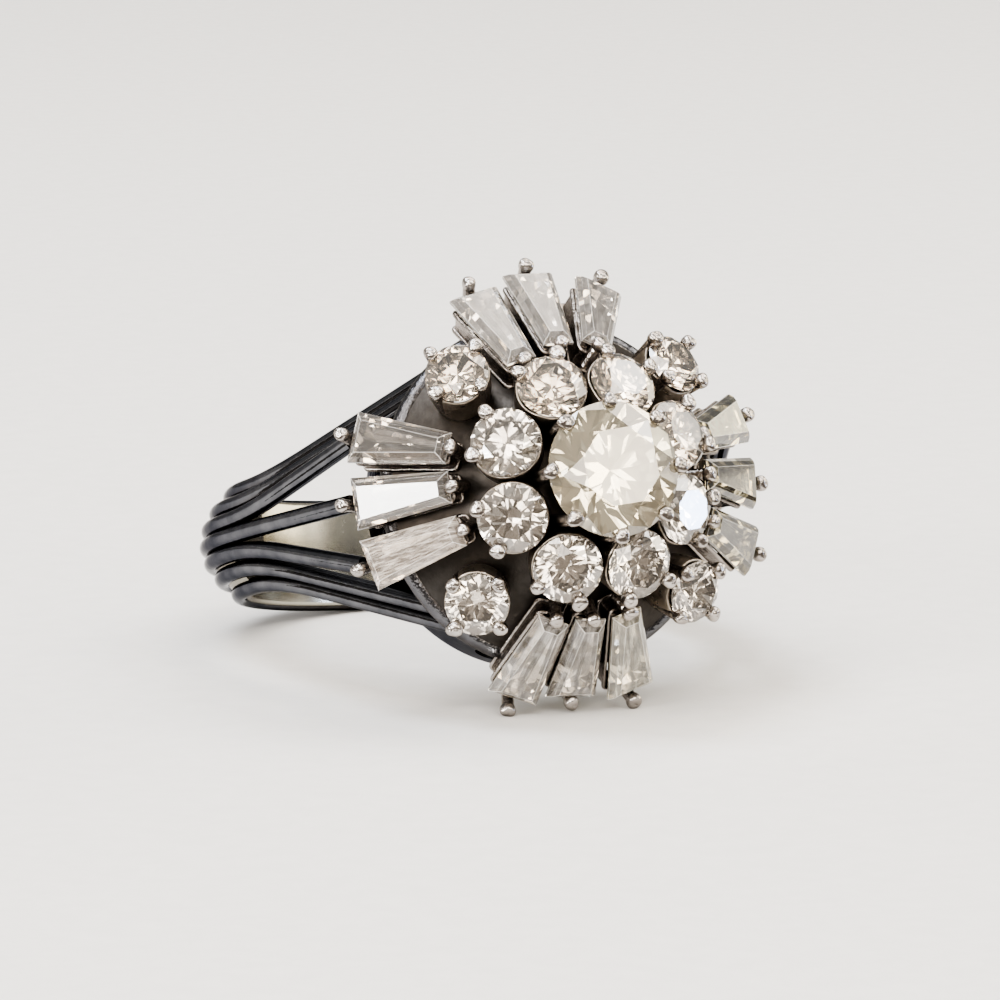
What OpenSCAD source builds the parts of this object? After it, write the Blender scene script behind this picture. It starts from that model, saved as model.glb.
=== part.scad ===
// Domed cluster ring: round and tapered stones in a soldered white metal mount on a fan of wires.
// It is modelled lying as it comes to rest: on two lower prong beads and the edge of the shank's back.

/* [Finger hole and shank] */
// Width of the finger hole
finger_d = 16.7; // [16:0.1:18]
// Thickness of one shank wire
wire_d = 0.7; // [0.6:0.02:0.74]
// Spacing of the wires where they run side by side round the back
wire_pitch = 0.64; // [0.62:0.01:0.68]
// How much lower the outermost wire lies than the middle one
shank_dome = 1.1; // [0.9:0.05:1.2]
// How far the closed back of the shank reaches round towards the head, past the half circle
back_past_half = 5; // [0:1:10]

/* [Head] */
// Height of the head's base plane above the finger's centre line
head_rise = 11.4; // [11:0.1:12.5]
// Radius of the base ring that carries the head
base_ring_r = 6.4; // [6.3:0.1:6.6]
// Thickness of the domed base plate
plate_wall = 0.5; // [0.4:0.05:0.8]

/* [Centre stone] */
// Width of the centre stone
centre_d = 5.1; // [4.6:0.05:5.2]
// Height of its girdle above the head's base plane
centre_height = 6.7; // [6.4:0.1:6.9]

/* [Inner round stones] */
// Width of an inner round stone
inner_d = 2.65; // [2.3:0.05:2.7]
// Distance of its girdle from the head's axis
inner_reach = 3.73; // [3.65:0.01:3.9]
// Height of its girdle above the head's base plane
inner_height = 4.75; // [4.5:0.05:4.9]
// Outward lean of its table
inner_lean = 27; // [22:1:30]

/* [Corner round stones] */
// Width of a corner stone
corner_d = 2.4; // [2.1:0.05:2.45]
// Distance of its girdle from the head's axis
corner_reach = 6.2; // [6.1:0.05:6.4]
// Height of its girdle above the head's base plane
corner_height = 2.6; // [2.4:0.05:2.8]
// Outward lean of its table
corner_lean = 32; // [28:1:36]

/* [Baguettes] */
// Width of a baguette's outer end
baguette_wide = 2.0; // [1.8:0.05:2.05]
// Width of a baguette's inner end
baguette_narrow = 1.2; // [1.1:0.05:1.3]
// Height of a baguette's inner end above its outer end
baguette_rise = 2.75; // [2.65:0.05:2.9]

/* [Prongs and seats] */
// Thickness of a prong's shaft
prong_d = 0.42; // [0.36:0.02:0.46]
// Width of a prong's bead
bead_d = 0.56; // [0.5:0.02:0.6]
// Clearance round every stone
seat_gap = 0.04; // [0.03:0.01:0.06]

/* [Hidden] */
// Cut of the round stones, as shares of their width
table_share = 0.6;
crown_share = 0.155;
girdle_share = 0.03;
pavilion_share = 0.43;
star_share = 0.8;
lower_facet_share = 0.24;

// Cut of the baguettes
baguette_crown = 0.34;
baguette_table_inset = 0.34;
baguette_girdle = 0.1;
baguette_pavilion = 0.85;
baguette_keel = 0.42;
lower_step = 0.62;
upper_step = 0.6;
upper_step_inset = 0.45;

// Directions round the head, counted from the right-hand side towards the top
inner_turns = [for (i = [0:7]) 22.5 + 45 * i];
corner_turns = [for (i = [0:3]) 45 + 90 * i];
centre_prong_turns = [for (i = [0:7]) 45 * i];

// Prongs round one stone, counted from the side that faces away from the centre
inner_prongs = [-41, 41];
corner_prongs = [0, 90, 180, 270];

// Each baguette as it was set: outer end's direction and reach, inner end's direction and reach,
// and how far its outer bead stands off the stone
OUT_DIR = 0;
OUT_REACH = 1;
IN_DIR = 2;
IN_REACH = 3;
STAND_OFF = 4;
fan = [
  [17.5, 8.20, 17.2, 5.30, 0.36],
  [359.5, 8.10, 360.4, 5.20, 0.36],
  [341.0, 8.25, 341.0, 5.45, 0.36],
  [71.8, 8.20, 76.5, 5.30, 0.36],
  [92.0, 8.35, 93.0, 5.30, 0.30],
  [108.3, 8.10, 111.0, 5.05, 0.36],
  [162.6, 8.20, 163.0, 5.25, 0.36],
  [180.6, 8.00, 179.2, 5.10, 0.36],
  [197.8, 8.00, 198.2, 5.05, 0.36],
  [252.8, 8.10, 254.3, 5.35, 0.44],
  [269.6, 7.80, 270.3, 5.20, 0.12],
  [287.2, 8.10, 286.6, 5.25, 0.44]
];
baguette_names = ["east_1", "east_2", "east_3", "north_1", "north_2", "north_3",
                  "west_1", "west_2", "west_3", "south_1", "south_2", "south_3"];

// Each shank wire of one side: its place in the row at the back, then its far end on the head as a
// direction, a reach and a height, counted on the left-hand side
ROW = 0;
END_DIR = 1;
END_REACH = 2;
END_HEIGHT = 3;
wires = [
  [3, 128, 6.28, -0.5],
  [2, 139, 6.28, -0.5],
  [1, 162.7, 8.02, -0.6],
  [0, 180, 7.95, -0.62],
  [-1, 197.4, 7.95, -0.62],
  [-2, 221, 6.28, -0.5],
  [-3, 232, 6.28, -0.5]
];

finger_r = finger_d / 2;
wire_r = wire_d / 2;
bead_r = bead_d / 2;
prong_r = prong_d / 2;

// Shank: wall behind the wires, sections round the back, and each wire's bend before it runs straight
shank_wall = 1.25;
back_sections = 15;
back_edge = 0.2;
bend_steps = 4;
bend_lead = 2.3;
wire_sunk = 0.2;
wire_root = 0.97;

// Base plate, the ring round its edge and the low wall under it
plate_top = 3.9;
plate_shoulder_r = 1.9;
rim_height = -0.5;
rim_wire_r = 0.38;
rim_sides = 24;
gallery_depth = 2.8;
gallery_wall_t = 0.5;
gallery_hole_r = 0.6;

// Prongs of the round stones: the bead's height above the girdle and distance outside it, and the foot
bead_lift = 0.18;
bead_out = 0.14;
prong_foot_share = 0.36;
prong_foot_rise = 0.9;
centre_prong_foot_r = 2.1;

// Prongs at the ends of a baguette: how far out they stand, and how deep their shafts reach
end_prong_out = 0.26;
inner_bead_out = 0.22;
prong_depth = 1.35;
inner_end_prong_depth = 0.8;

// Frames under the baguettes
frame_depth = 1.2;
frame_wall = 0.2;
frame_drop = 0.22;

// Cups under the round stones: depth, drop of the rim below the girdle, dip of the rim between prongs
corner_cup = 2.1;
inner_cup = 2.2;
rim_drop = 0.2;
rim_lip = 0.08;
rim_out = 0.05;
rim_in = 0.12;
rim_dip = 0.45;
dip_half_width = 40;
cup_foot_share = 0.24;
cup_foot_wall = 0.28;
cup_sides = 12;
light_hole_share = 0.2;
light_hole_bottom = -3.4;
light_hole_length = 2;

// Cup under the centre stone, as rings of a radius and a height below the girdle
centre_cup = [[1.0, -3.3], [1.7, -0.95], [2.0, -0.95], [1.4, -3.3]];

function polar(r, a, z) = [r * cos(a), r * sin(a), z];
function unit(v) = v / norm(v);

// Radius at which one wire of the row runs round the finger
function row_r(k) = finger_r + shank_wall + wire_r - shank_dome * k * k / 9;

// Ends, middle, length, turn and slope of one baguette
function outer_end(b) = polar(b[OUT_REACH], b[OUT_DIR], 0);
function inner_end(b) = polar(b[IN_REACH], b[IN_DIR], baguette_rise);
function middle(b) = (outer_end(b) + inner_end(b)) / 2;
function run_of(b) = outer_end(b) - inner_end(b);
function length_of(b) = norm(run_of(b));
function turn_of(b) = atan2(run_of(b)[1], run_of(b)[0]);
function slope_of(b) = asin(baguette_rise / length_of(b));

// A point of a baguette's own frame, seen in the head's frame and then in the ring's frame
function seen_in_head(b, along, up) =
  let (s = slope_of(b), t = turn_of(b), out = along * cos(s) + up * sin(s))
  middle(b) + [out * cos(t), out * sin(t), -along * sin(s) + up * cos(s)];
function seen_in_ring(p) = [p[0], -head_rise - p[2], p[1]];
function bead_of(b) = seen_in_ring(seen_in_head(b, length_of(b) / 2 + b[STAND_OFF], bead_lift));

// Reach of a six sided section of radius r in the direction a
function six_reach(r, a) = r * max([for (i = [0:5]) cos(a - 60 * i)]);

// The ring rests on the beads of the two lower side baguettes and on the back's lower edge
back_turn = 180 + 2 * back_past_half;
flat_share = cos(back_turn / back_sections / 2);
function back_point(k) = [0, row_r(k) * flat_share, k * wire_pitch];
front_rest = bead_of(fan[9]);
rest_run = back_point(-3) - front_rest;
rest_lean = atan2(rest_run[2], rest_run[1]) - asin((wire_r - bead_r) / norm([rest_run[1], rest_run[2]]));
function rested(p) = [p[0], p[1] * cos(rest_lean) + p[2] * sin(rest_lean),
                      -p[1] * sin(rest_lean) + p[2] * cos(rest_lean)];
rest_lift = six_reach(wire_r, rest_lean - 90) - rested(back_point(-3))[2];

// Foremost and hindmost points, which set the ring evenly about the origin
table_edge = seen_in_ring([0, -centre_d * table_share / 2,
                           centre_height + centre_d * (crown_share + girdle_share / 2)]);
front_y = rested(table_edge)[1];
back_y = max([for (k = [-3:3]) rested(back_point(k))[1]]) + six_reach(wire_r, rest_lean);
rest_back = -(front_y + back_y) / 2;

// Puts the ring, modelled round its finger axis, where it comes to rest
module at_rest()
  translate([0, rest_back, rest_lift])
    rotate([-rest_lean, 0, 0])
      children();

// Head frame: +Z out of the head, +X to the right round the finger, +Y along the finger
module on_head()
  translate([0, -head_rise, 0])
    rotate([90, 0, 0])
      children();

// Frame of a round stone: +Z out of its table, +X away from the head's axis
module at_stone(turn, reach, height, lean)
  rotate([0, 0, turn])
    translate([reach, 0, height])
      rotate([0, lean, 0])
        children();

// Frame of a baguette: +Z out of its table, +X along it to its wide end
module at_baguette(b)
  translate(middle(b))
    rotate([0, slope_of(b), turn_of(b)])
      children();

module at_inner(i) at_stone(inner_turns[i], inner_reach, inner_height, inner_lean) children();
module at_corner(i) at_stone(corner_turns[i], corner_reach, corner_height, corner_lean) children();
module at_centre() at_stone(0, 0, centre_height, 0) children();

// Ring of n corners at one height, the first one in the given direction
function facet_ring(r, z, n, first) = [for (i = [0:n - 1]) polar(r, first + 360 * i / n, z)];

// Round brilliant with 8 star, 8 kite and 16 upper facets, 16 girdle facets, 16 lower and 8 main facets
module brilliant(d) {
  r = d / 2;
  half_girdle = d * girdle_share / 2;
  table_r = r * table_share;
  top = half_girdle + d * crown_share;
  mid_r = r * star_share / cos(22.5);
  mid_z = top + (mid_r * cos(22.5) - table_r) * (half_girdle - top) / (r - table_r);
  low_r = r * lower_facet_share / cos(22.5);
  bottom = -half_girdle - d * pavilion_share;
  low_z = bottom + low_r * cos(22.5) * (-half_girdle - bottom) / r;
  corners = concat(
    facet_ring(table_r, top, 8, 0), facet_ring(mid_r, mid_z, 8, 22.5),
    facet_ring(r, half_girdle, 16, 0), facet_ring(r, -half_girdle, 16, 0),
    facet_ring(low_r, low_z, 8, 22.5), [[0, 0, bottom]]);
  // first corner of each ring in the list
  mid = 8;
  upper = 16;
  lower = 32;
  low = 48;
  culet = 56;
  facets = concat(
    [[for (i = [7:-1:0]) i]],
    [for (i = [0:7]) [i, (i + 1) % 8, mid + i]],
    [for (i = [0:7]) [i, mid + i, upper + 2 * i, mid + (i + 7) % 8]],
    [for (i = [0:7]) [mid + i, upper + 2 * i + 1, upper + 2 * i]],
    [for (i = [0:7]) [mid + i, upper + (2 * i + 2) % 16, upper + 2 * i + 1]],
    [for (i = [0:15]) [upper + i, upper + (i + 1) % 16, lower + (i + 1) % 16, lower + i]],
    [for (i = [0:7]) [lower + 2 * i, lower + 2 * i + 1, low + i]],
    [for (i = [0:7]) [lower + 2 * i + 1, lower + (2 * i + 2) % 16, low + i]],
    [for (i = [0:7]) [lower + 2 * i, low + i, culet, low + (i + 7) % 8]]);
  polyhedron(corners, facets);
}

// Outline of a tapered baguette of the given length, drawn in on every side by inset
function tapered_outline(length, inset, z) =
  let (x = length / 2 - inset,
       wide = baguette_wide / 2 - inset,
       narrow = baguette_narrow / 2 - inset)
  [[-x, -narrow, z], [x, -wide, z], [x, wide, z], [-x, narrow, z]];

// Solid through rings of four corners, listed from the bottom up
module stepped(rings) {
  n = len(rings);
  walls = [for (k = [0:n - 2]) for (i = [0:3])
    [4 * k + i, 4 * (k + 1) + i, 4 * (k + 1) + (i + 1) % 4, 4 * k + (i + 1) % 4]];
  polyhedron([for (r = rings) for (p = r) p],
             concat([[0, 1, 2, 3]], walls, [[for (i = [3:-1:0]) 4 * (n - 1) + i]]));
}

// Tapered step-cut stone
module baguette(b) {
  length = length_of(b);
  up = baguette_girdle / 2;
  stepped([
    tapered_outline(length, baguette_keel, -up - baguette_pavilion),
    tapered_outline(length, baguette_keel / 2, -up - baguette_pavilion * lower_step),
    tapered_outline(length, 0, -up),
    tapered_outline(length, 0, up),
    tapered_outline(length, baguette_table_inset * upper_step_inset, up + baguette_crown * upper_step),
    tapered_outline(length, baguette_table_inset, up + baguette_crown)
  ]);
}

// Space that a baguette takes, with its clearance, cut out of the prongs at its ends
module baguette_seat(b) {
  length = length_of(b);
  up = baguette_girdle / 2 + seat_gap;
  stepped([
    tapered_outline(length, baguette_keel / 2 / lower_step - seat_gap, -up - baguette_pavilion),
    tapered_outline(length, -seat_gap, -up),
    tapered_outline(length, -seat_gap, up),
    tapered_outline(length, baguette_table_inset * upper_step_inset - seat_gap, up + baguette_crown)
  ]);
}

// Space that a round stone takes, with its clearance, cut out of the prongs round it. The seat has
// flat sides, the first one at the given turn
module round_seat(d, sides, turn) {
  r = (d / 2 + seat_gap) / cos(180 / sides);
  half_girdle = d * girdle_share / 2 + seat_gap;
  rotate([0, 0, turn + 180 / sides])
    rotate_extrude($fn = sides)
      polygon([
        [0, -half_girdle - d * pavilion_share],
        [r, -half_girdle],
        [r, half_girdle],
        [r * table_share, half_girdle + d * crown_share],
        [0, half_girdle + d * crown_share]
      ]);
}

// Prong from its foot to the bead that is pushed over the stone
module prong(foot, tip)
  hull() {
    translate(foot) sphere(r = prong_r, $fn = 4);
    translate(tip) sphere(r = bead_r, $fn = 6);
  }

// Closed wall through rings of the same number of corners, listed round its section
module lofted_wall(rings) {
  n = len(rings);
  m = len(rings[0]);
  polyhedron([for (r = rings) for (p = r) p],
             [for (k = [0:n - 1]) for (i = [0:m - 1])
               let (next = (k + 1) % n)
               [k * m + i, k * m + (i + 1) % m, next * m + (i + 1) % m, next * m + i]]);
}

// Ring of corners whose height dips halfway between the prongs of a cup
function dipped_ring(r, z, dips) =
  [for (i = [0:cup_sides - 1])
    let (a = 360 * i / cup_sides,
         near = min([for (d = dips) abs((a - d + 540) % 360 - 180)]),
         dip = near < dip_half_width ? rim_dip * (1 + cos(180 * near / dip_half_width)) / 2 : 0)
    polar(r, a, z - dip)];

// Tapered cup under a round stone, its rim dipped between the prongs
module cup(d, depth, dips) {
  foot = cup_foot_share * d;
  lofted_wall([
    facet_ring(foot, -depth, cup_sides, 0),
    dipped_ring(d / 2 - rim_in, -rim_drop - rim_lip, dips),
    dipped_ring(d / 2 + rim_out, -rim_drop, dips),
    facet_ring(foot + cup_foot_wall, -depth, cup_sides, 0)
  ]);
}

// Prongs of a round stone, from inside its cup to just over the girdle
module round_prongs(d, depth, turns)
  for (a = turns)
    prong(polar(prong_foot_share * d + 0.1, a, prong_foot_rise - depth),
          polar(d / 2 + bead_out, a, bead_lift));

module corner_setting(i)
  at_corner(i) {
    cup(corner_d, corner_cup, [45, 135, 225, 315]);
    round_prongs(corner_d, corner_cup, corner_prongs);
  }

module inner_setting(i)
  at_inner(i) {
    cup(inner_d, inner_cup, [0, 90, 270]);
    round_prongs(inner_d, inner_cup, inner_prongs);
  }

module centre_setting()
  at_centre() {
    lofted_wall([for (ring = centre_cup) facet_ring(ring[0], ring[1], 8, 0)]);
    for (a = centre_prong_turns)
      prong(polar(centre_prong_foot_r, a, centre_cup[0][1]), polar(centre_d / 2 + bead_out, a, bead_lift));
  }

// Open frame under a baguette, with a prong at the middle of each end
module baguette_setting(b) {
  length = length_of(b);
  bottom = -frame_drop - frame_depth;
  at_baguette(b) {
    lofted_wall([
      tapered_outline(length, 0, bottom), tapered_outline(length, 0, -frame_drop),
      tapered_outline(length, -frame_wall, -frame_drop), tapered_outline(length, -frame_wall, bottom)
    ]);
    prong([length / 2 + end_prong_out, 0, -prong_depth], [length / 2 + b[STAND_OFF], 0, bead_lift]);
    prong([-length / 2 - end_prong_out, 0, -inner_end_prong_depth],
          [-length / 2 - inner_bead_out, 0, bead_lift]);
  }
}

// Domed plate that every setting is soldered to, with the base ring round its edge
module base_plate()
  color("gainsboro")
    rotate_extrude($fn = rim_sides)
      polygon([
        [0, plate_top],
        [plate_shoulder_r, plate_top - 0.2],
        [base_ring_r, rim_height + rim_wire_r],
        [base_ring_r + rim_wire_r, rim_height],
        [base_ring_r + rim_wire_r / 2, rim_height - rim_wire_r],
        [base_ring_r - rim_wire_r, rim_height - rim_wire_r],
        [plate_shoulder_r - 0.2, plate_top - 0.3 - plate_wall],
        [0, plate_top - 0.1 - plate_wall]
      ]);

// Low pierced wall under the base ring, cut to the finger hole
module gallery_wall() {
  outer_r = base_ring_r + 0.05;
  bottom = rim_height - gallery_depth;
  color("gainsboro")
    difference() {
      translate([0, 0, bottom]) cylinder(h = gallery_depth, r = outer_r, $fn = rim_sides);
      translate([0, 0, bottom - 0.1])
        cylinder(h = gallery_depth + 0.2, r = outer_r - gallery_wall_t, $fn = rim_sides);
      for (a = inner_turns)
        rotate([0, 0, a])
          translate([base_ring_r, 0, rim_height - gallery_depth / 2])
            rotate([0, 90, 0])
              cylinder(h = 3, r = gallery_hole_r, center = true, $fn = 6);
      translate([0, 0, -head_rise])
        rotate([90, 0, 0])
          cylinder(h = 30, r = finger_r, center = true, $fn = 48);
    }
}

// Everything the stones sit in, in the head's frame
module head_metal() {
  base_plate();
  gallery_wall();
  color("silver") {
    centre_setting();
    for (i = [0:7]) inner_setting(i);
    for (i = [0:3]) corner_setting(i);
    for (b = fan) baguette_setting(b);
  }
}

// Light hole through the plate under one round stone
module light_hole(d)
  translate([0, 0, light_hole_bottom])
    cylinder(h = light_hole_length, r = light_hole_share * d, $fn = 6);

module light_holes() {
  for (i = [0:7]) at_inner(i) light_hole(inner_d);
  for (i = [0:3]) at_corner(i) light_hole(corner_d);
}

// Spaces of all the stones, in the head's frame
module seats() {
  at_centre() round_seat(centre_d, 16, 0);
  for (i = [0:7]) at_inner(i) round_seat(inner_d, 12, 45);
  for (i = [0:3]) at_corner(i) round_seat(corner_d, 12, 0);
  for (b = fan) at_baguette(b) baguette_seat(b);
}

// Fluted back of the shank, one flute for each wire, smooth inside
module shank_back() {
  half_width = 3 * wire_pitch + back_edge;
  color("silver")
    rotate([0, 0, -back_past_half])
      rotate_extrude(angle = back_turn, $fn = floor(360 * back_sections / back_turn)) {
        for (k = [-3:3])
          translate([row_r(k), k * wire_pitch])
            circle(r = wire_r, $fn = 6);
        polygon(concat(
          [[finger_r, half_width], [finger_r, -half_width], [row_r(3), -half_width]],
          [for (k = [-2:2]) [row_r(k), k * wire_pitch]],
          [[row_r(3), half_width]]));
      }
}

// Ends of one wire's bend: where it leaves the back, the corner it turns round and where it runs
// straight to the head, then its far end on the head, all on the left-hand side
function wire_guide(w) =
  let (a = wire_sunk - back_past_half,
       start = [-row_r(w[ROW]) * cos(a), row_r(w[ROW]) * sin(a), w[ROW] * wire_pitch],
       corner = start + bend_lead * [-sin(a), -cos(a), 0],
       finish = seen_in_ring(polar(w[END_REACH], w[END_DIR], w[END_HEIGHT])))
  [start, corner, corner + bend_lead * unit(finish - corner), finish];

// A point and the way forward on the bend, for t from 0 to 1
function bend_point(g, t) = pow(1 - t, 2) * g[0] + 2 * t * (1 - t) * g[1] + t * t * g[2];
function bend_way(g, t) = unit((1 - t) * (g[1] - g[0]) + t * (g[2] - g[1]));

// Six sided section of a wire of radius r at a point, square to the way it runs
function wire_section(point, way, r) =
  let (side = unit(cross(way, [0, 0, 1])), up = cross(side, way))
  [for (i = [0:5]) point + r * (cos(60 * i) * side + sin(60 * i) * up)];

// Round wire: a bend, then a straight run, with a flat end at each side
module round_wire(g, r) {
  rings = concat(
    [wire_section(g[0], bend_way(g, 0), r * wire_root)],
    [for (s = [1:bend_steps]) wire_section(bend_point(g, s / bend_steps), bend_way(g, s / bend_steps), r)],
    [wire_section(g[3], bend_way(g, 1), r)]);
  last = 6 * (len(rings) - 1);
  walls = [for (a = [0:6:last - 6]) for (i = [0:5])
    let (j = (i + 1) % 6)
    [a + i, a + j, a + 6 + j, a + 6 + i]];
  polyhedron([for (ring = rings) for (p = ring) p],
             concat([[for (i = [5:-1:0]) i]], walls, [[for (i = [0:5]) last + i]]));
}

module shank_wires()
  color("silver")
    for (side = [0, 1])
      mirror([side, 0, 0])
        for (w = wires)
          round_wire(wire_guide(w), wire_r);

// The whole soldered mount as one solid
module mount_metal()
  at_rest()
    difference() {
      union() {
        shank_back();
        shank_wires();
        on_head() head_metal();
      }
      on_head() {
        seats();
        light_holes();
      }
    }

module centre_stone()
  color("ivory") at_rest() on_head() at_centre() brilliant(centre_d);

module inner_stone(i)
  color("ghostwhite") at_rest() on_head() at_inner(i) brilliant(inner_d);

module corner_stone(i)
  color("whitesmoke") at_rest() on_head() at_corner(i) brilliant(corner_d);

module baguette_stone(i)
  color("azure") at_rest() on_head() at_baguette(fan[i]) baguette(fan[i]);

mount_metal();
centre_stone();
for (i = [0:7])
  inner_stone(i);
for (i = [0:3])
  corner_stone(i);
for (i = [0:11])
  baguette_stone(i);
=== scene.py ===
import bpy
import bmesh
import math
import random
import numpy as np
from mathutils import Matrix, Vector


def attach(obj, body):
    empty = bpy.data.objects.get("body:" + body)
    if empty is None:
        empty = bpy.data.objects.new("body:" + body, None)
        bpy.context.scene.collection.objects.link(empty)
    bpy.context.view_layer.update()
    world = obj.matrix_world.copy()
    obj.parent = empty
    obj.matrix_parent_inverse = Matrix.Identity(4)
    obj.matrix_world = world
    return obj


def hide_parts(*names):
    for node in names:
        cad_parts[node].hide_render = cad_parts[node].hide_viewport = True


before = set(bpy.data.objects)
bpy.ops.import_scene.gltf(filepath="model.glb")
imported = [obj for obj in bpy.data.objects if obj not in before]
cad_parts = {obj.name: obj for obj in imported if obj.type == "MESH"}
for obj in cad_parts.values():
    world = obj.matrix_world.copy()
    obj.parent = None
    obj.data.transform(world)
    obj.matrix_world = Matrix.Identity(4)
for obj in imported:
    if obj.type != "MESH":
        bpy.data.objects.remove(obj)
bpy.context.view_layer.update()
print("loaded the packed ring:", len(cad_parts), "parts")

dice = random.Random(41)
metre = 0.001  # lengths are in millimetres until a piece is made

# how the ring lies, and how far its head stands from the middle of the finger hole
ringLie = dict(lean=17.0992, lift=4.76255, back=4.35986, headRise=11.4)

ringToRow = (Matrix.Scale(metre, 4)
             @ Matrix.Translation((0, ringLie["back"], ringLie["lift"]))
             @ Matrix.Rotation(-math.radians(ringLie["lean"]), 4, "X"))
headToRing = Matrix(((1, 0, 0, 0), (0, 0, -1, -ringLie["headRise"]), (0, 1, 0, 0), (0, 0, 0, 1)))
headToRow = ringToRow @ headToRing


def polar(reach, turn, height):
    a = math.radians(turn)
    return Vector((reach * math.cos(a), reach * math.sin(a), height))


def turnZ(degrees):
    return Matrix.Rotation(math.radians(degrees), 4, "Z")


def turnY(degrees):
    return Matrix.Rotation(math.radians(degrees), 4, "Y")


def blendOf(a, b, t):
    return a + (b - a) * t


# where the stones sit on the head
roundSeats = dict(
    innerReach=3.73, innerHeight=4.75, innerLean=27, innerWidth=2.65,
    cornerReach=6.2, cornerHeight=2.6, cornerLean=32, cornerWidth=2.4,
    centreHeight=6.7, centreWidth=5.1,
)
innerTurns = [22.5 + 45 * i for i in range(8)]
cornerTurns = [45 + 90 * i for i in range(4)]

# each baguette: outer end's turn and reach, inner end's turn and reach, outer bead's stand-off
fanRise = 2.75
fanRows = dict(
    east_1=(17.5, 8.20, 17.2, 5.30, 0.36), east_2=(359.5, 8.10, 360.4, 5.20, 0.36),
    east_3=(341.0, 8.25, 341.0, 5.45, 0.36), north_1=(71.8, 8.20, 76.5, 5.30, 0.36),
    north_2=(92.0, 8.35, 93.0, 5.30, 0.30), north_3=(108.3, 8.10, 111.0, 5.05, 0.36),
    west_1=(162.6, 8.20, 163.0, 5.25, 0.36), west_2=(180.6, 8.00, 179.2, 5.10, 0.36),
    west_3=(197.8, 8.00, 198.2, 5.05, 0.36), south_1=(252.8, 8.10, 254.3, 5.35, 0.42),
    south_2=(269.6, 7.80, 270.3, 5.20, 0.12), south_3=(287.2, 8.10, 286.6, 5.25, 0.36),
)


def stoneSeat(turn, reach, height, lean):
    return turnZ(turn) @ Matrix.Translation((reach, 0, height)) @ turnY(lean)


def roundRow(kind, turns):
    s = roundSeats
    return [stoneSeat(turn, s[kind + "Reach"], s[kind + "Height"], s[kind + "Lean"]) for turn in turns]


roundRows = dict(inner=roundRow("inner", innerTurns), corner=roundRow("corner", cornerTurns))


def centreSeat():
    return Matrix.Translation((0, 0, roundSeats["centreHeight"]))


def baguetteSeat(row):
    outerTurn, outerReach, innerTurn, innerReach = row[:4]
    outer = polar(outerReach, outerTurn, 0)
    inner = polar(innerReach, innerTurn, fanRise)
    run = outer - inner
    turn = math.degrees(math.atan2(run.y, run.x))
    slope = math.degrees(math.asin(fanRise / run.length))
    return Matrix.Translation((outer + inner) / 2) @ turnZ(turn) @ turnY(slope), run.length


# a shape is a list of points and a list of faces
def joined(shapes):
    points, faces = [], []
    for shapePoints, shapeFaces in shapes:
        start = len(points)
        points += list(shapePoints)
        faces += [tuple(i + start for i in face) for face in shapeFaces]
    return points, faces


def moved(shape, matrix):
    return [matrix @ Vector(p) for p in shape[0]], shape[1]


def loft(rings, closedAround=False, closedSection=True):
    n = len(rings[0])
    faces = []
    for k in range(len(rings) if closedAround else len(rings) - 1):
        a, b = k * n, ((k + 1) % len(rings)) * n
        for i in range(n if closedSection else n - 1):
            j = (i + 1) % n
            faces.append((a + i, a + j, b + j, b + i))
    if closedSection and not closedAround:
        faces.append(tuple(range(n - 1, -1, -1)))
        faces.append(tuple(range((len(rings) - 1) * n, len(rings) * n)))
    return [p for ring in rings for p in ring], faces


def lathe(profile, sides, closedSection=False):
    rings = []
    for s in range(sides):
        a = 2 * math.pi * s / sides
        rings.append([Vector((r * math.cos(a), r * math.sin(a), z)) for r, z in profile])
    return loft(rings, closedAround=True, closedSection=closedSection)


def sweep(path, radius, sides, closedAround=False):
    # tube along a path, its section carried along without twist
    n = len(path)
    ways = []
    for i in range(n):
        a = path[(i - 1) % n] if closedAround or i > 0 else path[i]
        b = path[(i + 1) % n] if closedAround or i < n - 1 else path[i]
        ways.append((b - a).normalized())
    side = ways[0].cross(Vector((0, 0, 1)))
    if side.length < 0.1:
        side = ways[0].cross(Vector((0, 1, 0)))
    turns = [2 * math.pi * s / sides for s in range(sides)]
    rings = []
    for i in range(n):
        side = (side - ways[i] * side.dot(ways[i])).normalized()
        up = ways[i].cross(side)
        rings.append([path[i] + side * (radius * math.cos(turn)) + up * (radius * math.sin(turn))
                      for turn in turns])
    return loft(rings, closedAround=closedAround)


# stones are cut from a blank by the planes of their facets
sameSpot = 2e-5  # a cut this near to a stone's corner goes through it
# shares of the stone's width
roundCut = dict(table=0.6, crown=0.155, girdle=0.03, pavilion=0.43, star=0.8, lowerFacet=0.24,
                girdleSides=96)
# half widths and heights in millimetres; each step is its inset and its drop from the girdle
stepCut = dict(wide=1.0, narrow=0.6, girdle=0.1, blankHalf=2,
               crown=[(0, 0), (0.153, 0.204), (0.34, 0.34)],
               pavilion=[(0, 0), (0.17, 0.40), (0.38, 0.72), (0.62, 0.84)])


def planeThrough(a, b, c):
    facing = (b - a).cross(c - a).normalized()
    if facing.dot(a) < 0:
        facing.negate()
    return a, facing


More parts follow.
